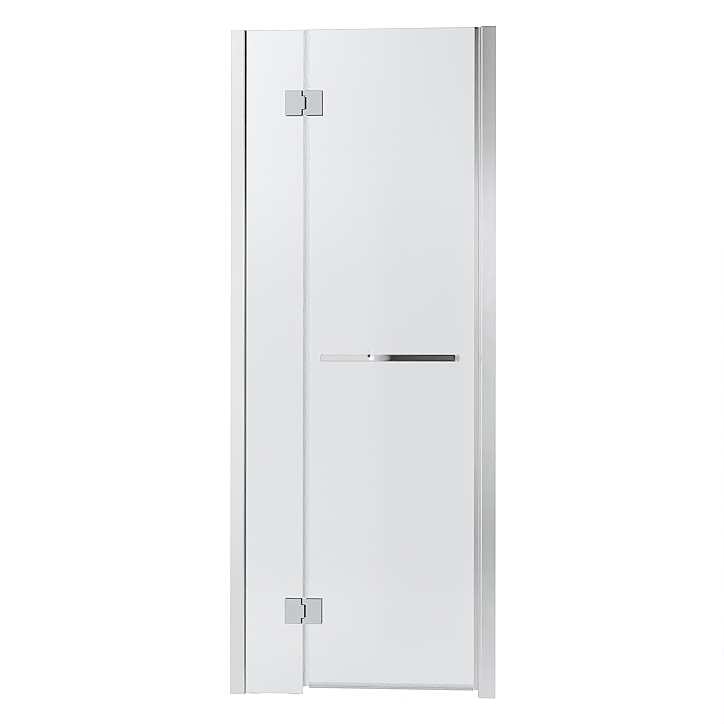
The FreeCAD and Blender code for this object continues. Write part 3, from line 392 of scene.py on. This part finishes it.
finish = {
    "bright_aluminium": bright_aluminium(),
    "polished_chrome": mirror_chrome(),
    "chrome_plate": chrome_plate(),
    "clear_glass": clear_glass(),
    "clear_seal": hinge_vinyl(),
    "clear_sweep": sweep_vinyl(),
    "chrome_vinyl": chrome_vinyl(),
    "carrier_plastic": moulded(
        "carrier_plastic", (0.52, 0.525, 0.53), (0.46, 0.465, 0.47), (0.32, 0.46), 1800.0, 0.00006
    ),
    "magnet_strip": moulded(
        "magnet_strip", (0.055, 0.053, 0.052), (0.035, 0.034, 0.034), (0.5, 0.7), 2600.0, 0.00010
    ),
    "dark_rubber": hinge_rubber(),
    "glazing_rubber": glazing_rubber(),
    "clear_pad": moulded(
        "clear_pad",
        (0.74, 0.755, 0.765),
        (0.68, 0.70, 0.715),
        (0.28, 0.42),
        1500.0,
        0.00006,
    ),
    "nylon": moulded("nylon", (0.80, 0.79, 0.76), (0.72, 0.71, 0.68), (0.42, 0.58), 1700.0, 0.00006),
    # near-black nylon for the hinge bushes and washers; the near black also serves as painted shade in the gaps of
    # the hinge knuckles
    "black_nylon": moulded(
        "black_nylon", (0.017, 0.017, 0.018), (0.010, 0.010, 0.011), (0.42, 0.58), 1700.0, 0.00006
    ),
    "stainless_steel": stainless_steel(),
    "cap_plastic": silver_cap(),
}

slot_of = {row["node"]: row["material_slot"] for row in frame["record"]["subparts"]}

for name, piece in nodes.items():
    kind = slot_of[name]
    if kind == "polished_chrome" and "hinge" in name:
        kind = "chrome_plate"
    elif name == "bottom_sweep":
        kind = "clear_sweep"
    elif name.startswith("glazing_gasket"):
        kind = "glazing_rubber"
    piece.data.materials.clear()
    piece.data.materials.append(finish[kind])


# --------------------------------------------------------------------------
# Floor
# --------------------------------------------------------------------------
def pale_floor():
    """A round white floor, lit from below, that fades into the white surroundings."""
    count, rings = 96, (0.0, 0.6, 1.2, 2.0, 3.0, 4.2)
    verts, faces = [(0.0, 0.0, 0.0)], []
    for r in rings[1:]:
        for i in range(count):
            a = 2 * math.pi * i / count
            verts.append((r * math.cos(a), r * math.sin(a), 0.0))
    for i in range(count):
        j = (i + 1) % count
        faces.append((0, 1 + i, 1 + j))
        for k in range(len(rings) - 2):
            b, c = 1 + k * count, 1 + (k + 1) * count
            faces.append((b + i, c + i, c + j, b + j))
    mesh = bpy.data.meshes.new("floor")
    mesh.from_pydata(verts, [], faces)
    mesh.update()
    floor = bpy.data.objects.new("floor", mesh)
    scene.collection.objects.link(floor)
    floor.location.z = -0.0004
    m = bpy.data.materials.new("pale_floor")
    m.use_nodes = True
    g = Graph(m.node_tree)
    paint = g.add("ShaderNodeBsdfDiffuse")
    g.put(paint.inputs["Color"], (0.14, 0.14, 0.14))
    glow = g.add("ShaderNodeEmission")
    g.put(glow.inputs["Color"], (1.0, 1.0, 1.0))
    lit = g.add("ShaderNodeAddShader")
    g.put(lit.inputs[0], paint.outputs[0])
    g.put(lit.inputs[1], glow.outputs[0])
    clear = g.add("ShaderNodeBsdfTransparent")
    at = g.add("ShaderNodeTexCoord").outputs["Object"]
    g.put(glow.inputs["Strength"], g.remap(g.split(at)["X"], 0.1, -0.7, 0.885, 0.945, smooth=True))
    far = g.add("ShaderNodeVectorMath", operation="LENGTH")
    g.put(far.inputs[0], at)
    mix = g.add("ShaderNodeMixShader")
    g.put(mix.inputs[0], g.remap(far.outputs["Value"], 1.0, 4.0, smooth=True))
    g.put(mix.inputs[1], lit.outputs[0])
    g.put(mix.inputs[2], clear.outputs[0])
    out = g.add("ShaderNodeOutputMaterial")
    g.put(out.inputs["Surface"], mix.outputs[0])
    mesh.materials.append(m)
    floor.visible_glossy = False
    return floor


pale_floor()


# --------------------------------------------------------------------------
# Studio light
# --------------------------------------------------------------------------
def studio():
    """White surroundings all round. What bright metal mirrors is a soft studio:
    pale cards in front, a dark panel between them, a grey gap above, a large
    light overhead and darker gaps to the sides. Angles are in degrees; azimuth
    0 is straight out into the room and grows to the right."""
    world = bpy.data.worlds.new("studio")
    scene.world = world
    world.use_nodes = True
    g = Graph(world.node_tree)
    x, y, z = g.split(g.add("ShaderNodeTexCoord").outputs["Generated"])
    degrees = 180.0 / math.pi
    el = g.maths("MULTIPLY", g.maths("ARCSINE", z), degrees)
    az = g.maths("MULTIPLY", g.maths("ARCTAN2", x, g.maths("MULTIPLY", y, -1.0)), degrees)

    # the left card, the right card, and a soft step between them
    left = g.curve(
        el, -60.0, 60.0,
        [
            (-60, 0.78), (-30, 0.82), (-9, 0.805), (-6.9, 0.795), (-4, 0.89),
            (0, 0.925), (5, 0.92), (9.4, 0.98), (20, 0.95), (40, 0.78), (60, 0.72),
        ],
    )
    right = g.curve(
        el, -60.0, 60.0,
        [
            (-60, 0.62), (-9.4, 0.795), (-8.2, 0.70), (-7.2, 0.715), (-5.2, 0.53), (-1.8, 0.735),
            (0.9, 0.77), (2.1, 0.885), (4.2, 0.89), (6.6, 0.595), (9.8, 0.585), (17, 0.60), (25, 0.85),
            (40, 0.78), (60, 0.72),
        ],
    )
    share = g.blend(g.remap(y, 0.1, 0.8, smooth=True), g.remap(az, -9.2, -1.8), 0.5)
    front = g.blend(share, left, right)

    # a light on the right and one on the left, with grey gaps beyond them
    around = g.curve(
        az, -180.0, 180.0,
        [
            (-180, 0.95), (-128, 0.80), (-112, 0.76), (-90, 1.05), (-66, 1.05), (-36, 0.92), (-13, 1.0),
            (0, 1.0), (10, 1.0), (28, 1.2), (60, 1.28), (84, 1.0), (108, 0.62), (132, 0.80), (180, 0.95),
        ],
    )
    mirrored = g.maths("MULTIPLY", front, around)
    high = g.times(g.remap(az, -16.0, -44.0, smooth=True), g.remap(el, 4.0, 9.5, smooth=True))
    mirrored = g.maths("MULTIPLY", mirrored, g.blend(high, 1.0, 0.74))

    # a dark gap at the top, between the cards
    gap = g.times(
        g.remap(el, 4.6, 9.6, smooth=True),
        g.remap(el, 24.0, 17.0, smooth=True),
        g.remap(az, -4.8, -3.0, smooth=True),
        g.remap(az, -1.82, -2.22, smooth=True),
    )
    mirrored = g.blend(g.maths("MULTIPLY", gap, 0.91), mirrored, 0.08)

    # the upper hinge's card is a little greyer
    veil = g.times(
        g.remap(el, 4.5, 6.5, smooth=True),
        g.remap(az, -8.6, -7.8, smooth=True),
        g.remap(az, -5.5, -6.9, smooth=True),
    )
    mirrored = g.maths("MULTIPLY", mirrored, g.blend(veil, 1.0, 0.945))

    # a dark panel below eye level
    panel = g.times(
        g.remap(el, -9.2, -7.4, smooth=True),
        g.curve(el, -1.0, 8.0, [(-1.0, 0.92), (0.2, 0.85), (2.0, 0.62), (4.0, 0.52), (6.0, 0.0), (8.0, 0.0)]),
        g.remap(az, -5.40, -4.55, smooth=True),
        g.remap(az, -2.28, -3.00, smooth=True),
    )
    mirrored = g.blend(panel, mirrored, 0.12)
    # what the bar mirrors, straight out: pale, a bright strip, then the dark panel
    level = g.times(
        g.remap(el, -0.20, -0.04, smooth=True),
        g.remap(el, 0.46, 0.30, smooth=True),
        g.remap(az, -6.95, -6.75, smooth=True),
        g.remap(az, -2.60, -2.74, smooth=True),
    )
    card = g.curve(
        az, -7.0, -2.5,
        [
            (-7.0, 0.88), (-5.255, 0.88), (-5.225, 1.22), (-5.125, 1.15), (-5.09, 0.80), (-4.86, 0.56),
            (-4.76, 0.45), (-4.655, 0.20), (-4.625, 0.055), (-4.2, 0.095), (-3.4, 0.130), (-2.86, 0.165),
            (-2.80, 0.19), (-2.775, 0.62), (-2.5, 0.62),
        ],
    )
    mirrored = g.blend(level, mirrored, card)
    spot = g.times(
        g.remap(el, 0.120, 0.150, smooth=True),
        g.remap(el, 0.42, 0.34, smooth=True),
        g.remap(az, -5.300, -5.275, smooth=True),
        g.remap(az, -5.205, -5.230, smooth=True),
    )
    mirrored = g.blend(spot, mirrored, 0.01)

    # a darker line along the foot of the panel, where the bar's face ends
    foot = g.times(
        g.remap(el, 0.060, 0.044, smooth=True),
        g.remap(el, -0.10, -0.04, smooth=True),
        g.remap(az, -4.85, -4.65, smooth=True),
        g.remap(az, -2.78, -2.82, smooth=True),
    )
    mirrored = g.blend(foot, mirrored, 0.02)

    # the bar's bent end, at the same height, looks past the right card
    bend = g.times(
        g.remap(el, -0.20, -0.04, smooth=True),
        g.remap(el, 0.42, 0.26, smooth=True),
        g.remap(az, -1.30, -1.10, smooth=True),
    )
    past = g.curve(
        az, -2.0, 180.0, [(-2.0, 0.62), (9.0, 0.62), (30.0, 0.58), (70.0, 0.54), (110.0, 0.70), (180.0, 0.78)]
    )
    mirrored = g.blend(bend, mirrored, past)
    slot = g.times(
        g.remap(el, 0.07, 0.10, smooth=True),
        g.remap(el, 0.20, 0.17, smooth=True),
        g.remap(az, -2.835, -2.815, smooth=True),
        g.remap(az, -2.770, -2.790, smooth=True),
    )
    mirrored = g.blend(slot, mirrored, 0.01)
    mirrored = g.blend(g.remap(el, 62.0, 78.0, smooth=True), mirrored, 1.25)

    # a dark strip that runs right round above and below, for the bar's round edges
    across = g.maths("MULTIPLY", g.maths("ARCSINE", x), degrees)
    ring = g.times(
        g.remap(across, -5.05, -4.60, smooth=True),
        g.remap(across, -2.72, -2.84, smooth=True),
        g.remap(y, 0.45, 0.10, smooth=True),
    )
    mirrored = g.blend(g.maths("MULTIPLY", ring, g.remap(el, 10.0, 14.0, smooth=True)), mirrored, 0.07)
    mirrored = g.blend(g.maths("MULTIPLY", ring, g.remap(el, -10.0, -14.0, smooth=True)), mirrored, 0.012)
    mark = g.times(
        g.remap(el, 10.0, 14.0, smooth=True),
        g.remap(across, -5.300, -5.275, smooth=True),
        g.remap(across, -5.190, -5.230, smooth=True),
        g.remap(y, 0.45, 0.10, smooth=True),
    )
    mirrored = g.blend(mark, mirrored, 0.012)

    # what shows behind and through the glass: white, brighter up on the left, a little up on the right
    behind = g.maths("MULTIPLY", g.maths("ARCTAN2", x, y), degrees)
    gain = g.curve(
        el, -12.0, 12.0, [(-12.0, 0.12), (-5.0, 0.045), (-1.0, 0.03), (1.2, 0.055), (6.0, 0.175), (12.0, 0.235)]
    )
    lift = g.times(g.remap(behind, -4.4, -2.8, smooth=True), g.remap(el, 1.5, 4.5, 0.0, 0.033, smooth=True))
    leftward = g.times(g.remap(behind, -2.6, -8.8), gain)
    backdrop = g.maths("ADD", 1.0, g.times(g.maths("ADD", leftward, lift), g.remap(y, 0.2, 0.8)))

    # soft light on everything matt
    soft = g.remap(el, -20.0, 70.0, 0.96, 1.12, smooth=True)

    path = g.add("ShaderNodeLightPath")
    shown = g.maths("MAXIMUM", path.outputs["Is Camera Ray"], path.outputs["Is Transmission Ray"])
    light = g.blend(path.outputs["Is Glossy Ray"], soft, mirrored)
    light = g.blend(shown, light, backdrop)
    sky = g.add("ShaderNodeBackground")
    g.put(sky.inputs["Color"], (1.0, 1.0, 1.0))
    g.put(sky.inputs["Strength"], light)
    out = g.add("ShaderNodeOutputWorld")
    g.put(out.inputs["Surface"], sky.outputs[0])


studio()


# --------------------------------------------------------------------------
# Camera: square on at mid height, from a little to the right
# --------------------------------------------------------------------------
def camera():
    data = bpy.data.cameras.new("camera")
    data.sensor_width = 36.0
    data.lens = 99.48
    data.clip_start, data.clip_end = 0.05, 100.0
    eye = bpy.data.objects.new("camera", data)
    scene.collection.objects.link(eye)
    eye.location = (0.5536, -5.8021, 0.975)
    aim = Vector((-0.0021, 0.022, 0.975)) - eye.location
    turn = aim.to_track_quat("-Z", "Y").to_matrix()
    roll = Matrix.Rotation(math.radians(0.07), 3, "Z")
    eye.rotation_euler = (turn @ roll).to_euler()
    scene.camera = eye


camera()
scene.view_settings.view_transform = "Standard"


# --------------------------------------------------------------------------
# A light sharpening of the finished picture, as product photographs have
# --------------------------------------------------------------------------
def sharpen(amount):
    scene.use_nodes = True
    g = Graph(scene.node_tree)
    picture = g.add("CompositorNodeRLayers").outputs["Image"]
    for gamma in (1.0 / 2.2, None, 2.2):
        n = g.add("CompositorNodeFilter", filter_type="SHARPEN_DIAMOND") if gamma is None else g.add("CompositorNodeGamma")
        g.put(n.inputs["Image"], picture)
        g.put(n.inputs["Fac" if gamma is None else "Gamma"], amount if gamma is None else gamma)
        picture = n.outputs["Image"]
    g.put(g.add("CompositorNodeComposite").inputs["Image"], picture)


sharpen(0.45)
